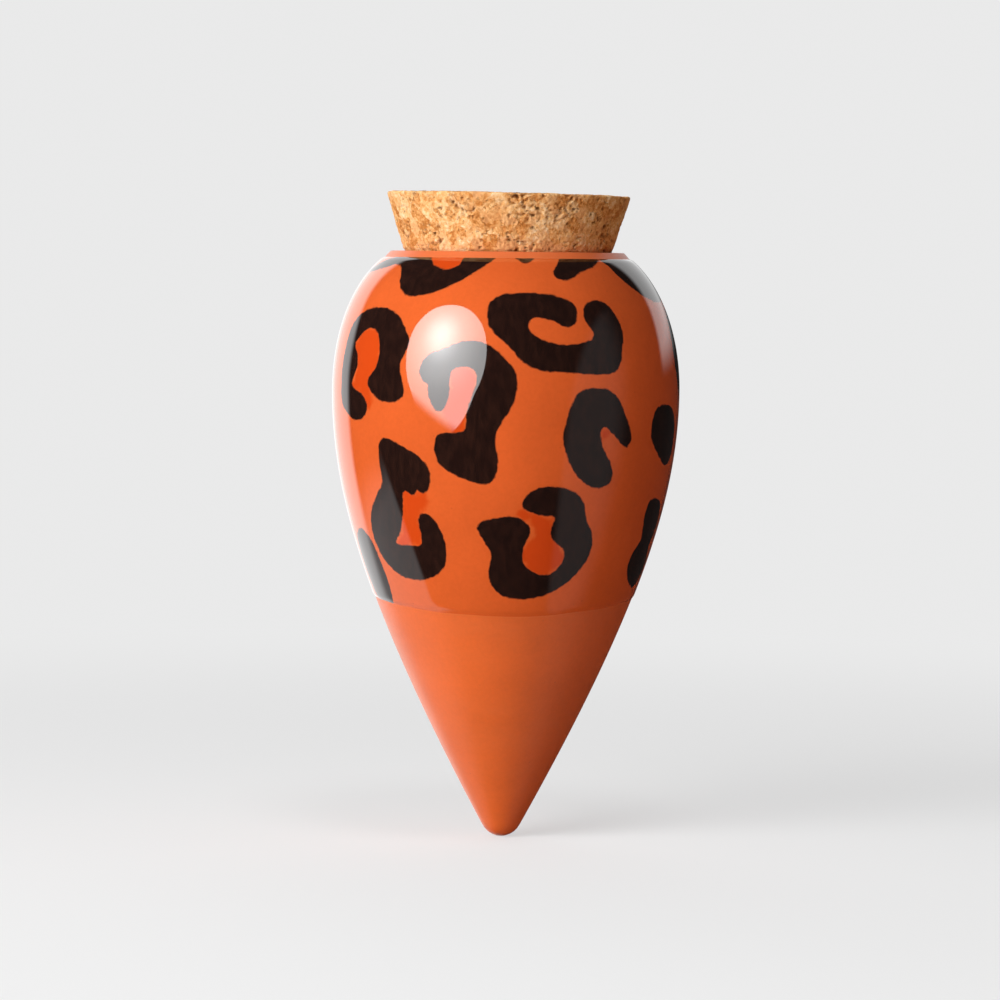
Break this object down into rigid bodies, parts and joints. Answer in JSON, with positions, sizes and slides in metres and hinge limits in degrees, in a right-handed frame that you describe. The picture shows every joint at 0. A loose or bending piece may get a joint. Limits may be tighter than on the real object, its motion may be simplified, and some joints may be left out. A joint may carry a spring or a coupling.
{
  "type": "irrigation olla",
  "caption": "Pointed terracotta watering olla with a glazed, leopard-painted shoulder, a bare porous spike for the soil and a tapered cork stopper in its mouth.",
  "frame": {"origin": "the lowest point of the spike's rounded tip, on the vessel's axis, which goes into the soil first", "axes": "+Z along the vessel's axis from the tip to the cork; X and Y are free, since the shape is turned about Z, and -Y faces the viewer of the picture"},
  "size_m": [0.087, 0.087, 0.1611],
  "materials": {
    "clay": "matte",
    "glaze": "gloss",
    "cork": "matte"
  },
  "bodies": {
    "vessel": {"terracotta_body": "clay", "glaze_coat": "glaze"},
    "stopper": {"cork_stopper": "cork"}
  },
  "joints": [
    {"name": "stopper_lift", "type": "slide", "parent": "vessel", "child": "stopper", "axis": [0, 0, 1], "range_m": [0, 0.065]}
  ]
}
